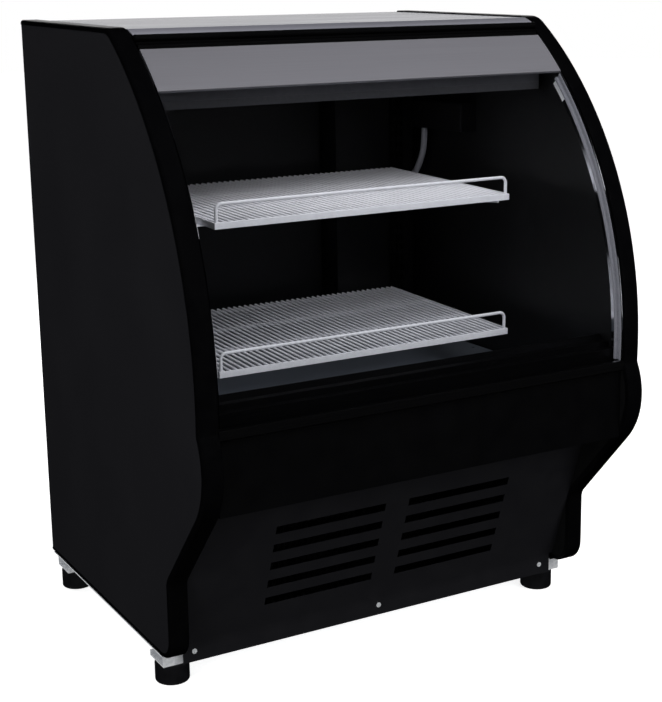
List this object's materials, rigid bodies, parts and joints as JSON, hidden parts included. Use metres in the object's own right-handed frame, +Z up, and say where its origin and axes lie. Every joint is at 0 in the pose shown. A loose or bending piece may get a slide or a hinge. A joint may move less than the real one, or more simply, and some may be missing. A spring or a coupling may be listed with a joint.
{
  "type": "ice cream display freezer",
  "caption": "Refrigerated display case with curved tilting front glass, wire shelves with guard rails, lit canopy, rear door, slotted kick panel and levelling feet.",
  "frame": {"origin": "on the floor, below the middle of the cabinet's width and depth", "axes": "+X across to the customer's right, +Y to the rear, +Z up"},
  "size_m": [1, 0.8699, 1.295],
  "materials": {
    "black_lacquer": "semi gloss lacquer on steel sheet",
    "black_plastic": "moulded black plastic",
    "black_aluminium": "black anodised extrusion",
    "insulation": "rigid foam",
    "galvanised": "galvanised sheet",
    "stainless": "stainless sheet",
    "white_enamel": "white powder coat",
    "grey_enamel": "grey powder coat",
    "pale_sheet": "glossy pale grey coated sheet",
    "satin_aluminium": "satin grey profile",
    "bright_aluminium": "polished aluminium strip",
    "clear_glass": "bent toughened glass",
    "grey_seal": "soft grey double lip seal",
    "black_rubber": "moulded rubber",
    "frosted_plastic": "frosted diffuser",
    "lamp_glass": "white coated lamp tube",
    "white_plastic": "moulded white plastic",
    "grey_conduit": "grey flexible conduit",
    "coil_aluminium": "thin fins on tubes",
    "black_enamel": "black enamel on a welded steel can"
  },
  "bodies": {
    "cabinet": {"base_pan": "galvanised", "front_cross_rail": "galvanised", "rear_cross_rail": "galvanised", "left_edge_moulding": "black_plastic", "right_edge_moulding": "black_plastic", "left_outer_skin": "black_lacquer", "right_outer_skin": "black_lacquer", "side_inner_skins": "black_lacquer", "side_foam_cores": "insulation", "glass_seals": "grey_seal", "bright_trims": "bright_aluminium", "top_panel": "pale_sheet", "top_foam": "insulation", "ceiling_liner": "white_enamel", "top_front_extrusion": "black_aluminium", "sill_extrusion": "black_aluminium", "belly_panel": "black_lacquer", "kick_panel": "black_lacquer", "kick_screws": "galvanised", "tub_foam": "insulation", "tub_liner": "stainless", "rear_liner": "white_enamel", "rear_foam": "insulation", "rear_outer_sheet": "black_lacquer", "air_ducts": "white_enamel", "shelf_uprights": "white_enamel", "shelf_brackets": "white_enamel", "evaporator_coil": "coil_aluminium", "condenser_coil": "coil_aluminium", "compressor": "black_enamel", "lamp_canopy": "grey_enamel", "lamp_diffuser": "frosted_plastic", "lamp_tube": "lamp_glass", "lamp_holders": "white_plastic", "wiring_box": "black_plastic", "conduit": "grey_conduit", "conduit_grommet": "black_rubber", "rear_door_hinges": "galvanised", "rear_grille": "black_lacquer", "control_panel": "black_plastic", "power_inlet": "black_plastic"},
    "front_glass": {"front_glass": "clear_glass", "header_profile": "satin_aluminium"},
    "rear_door": {"rear_door_leaf": "black_lacquer", "rear_door_plug": "white_plastic", "rear_door_gasket": "grey_seal", "rear_door_handle": "black_plastic"},
    "evaporator_rotor": {"evaporator_fan": "white_plastic"},
    "condenser_rotor": {"condenser_fan": "black_plastic"},
    "foot_front_left": {"foot_front_left": "black_rubber"},
    "foot_front_right": {"foot_front_right": "black_rubber"},
    "foot_rear_left": {"foot_rear_left": "black_rubber"},
    "foot_rear_right": {"foot_rear_right": "black_rubber"},
    "knob": {"thermostat_knob": "black_plastic"},
    "switch": {"power_switch": "black_plastic"},
    "upper_shelf": {"upper_shelf": "white_enamel", "upper_guard_rail": "white_enamel"},
    "lower_shelf": {"lower_shelf": "white_enamel", "lower_guard_rail": "white_enamel"},
    "deck": {"deck_pan": "stainless"}
  },
  "joints": [
    {"name": "front_glass_tilt", "type": "hinge", "parent": "cabinet", "child": "front_glass", "pos_m": [0, -0.11289, 1.243], "axis": [-1, 0, 0], "range_deg": [0, 70]},
    {"name": "rear_door_swing", "type": "hinge", "parent": "cabinet", "child": "rear_door", "pos_m": [-0.222, 0.4273, 0.845], "axis": [0, 0, 1], "range_deg": [0, 110]},
    {"name": "evaporator_fan_spin", "type": "hinge", "parent": "cabinet", "child": "evaporator_rotor", "pos_m": [0, 0.097, 0.461], "axis": [0, 1, 0], "continuous": true},
    {"name": "condenser_fan_spin", "type": "hinge", "parent": "cabinet", "child": "condenser_rotor", "pos_m": [-0.17, -0.04, 0.2], "axis": [0, 1, 0], "continuous": true},
    {"name": "foot_front_left_turn", "type": "hinge", "parent": "cabinet", "child": "foot_front_left", "pos_m": [-0.455, -0.15, 0.04], "axis": [0, 0, 1], "continuous": true},
    {"name": "foot_front_right_turn", "type": "hinge", "parent": "cabinet", "child": "foot_front_right", "pos_m": [0.455, -0.15, 0.04], "axis": [0, 0, 1], "continuous": true},
    {"name": "foot_rear_left_turn", "type": "hinge", "parent": "cabinet", "child": "foot_rear_left", "pos_m": [-0.455, 0.4, 0.04], "axis": [0, 0, 1], "continuous": true},
    {"name": "foot_rear_right_turn", "type": "hinge", "parent": "cabinet", "child": "foot_rear_right", "pos_m": [0.455, 0.4, 0.04], "axis": [0, 0, 1], "continuous": true},
    {"name": "thermostat_turn", "type": "hinge", "parent": "cabinet", "child": "knob", "pos_m": [0.268, 0.42, 0.315], "axis": [0, 1, 0], "range_deg": [0, 300]},
    {"name": "power_switch_rock", "type": "hinge", "parent": "cabinet", "child": "switch", "pos_m": [0.33, 0.415, 0.315], "axis": [-1, 0, 0], "range_deg": [0, 16]},
    {"name": "upper_shelf_lift", "type": "slide", "parent": "cabinet", "child": "upper_shelf", "axis": [0, 0, 1], "range_m": [0, 0.03]},
    {"name": "lower_shelf_lift", "type": "slide", "parent": "cabinet", "child": "lower_shelf", "axis": [0, 0, 1], "range_m": [0, 0.03]},
    {"name": "deck_lift", "type": "slide", "parent": "cabinet", "child": "deck", "axis": [0, 0, 1], "range_m": [0, 0.03]}
  ]
}
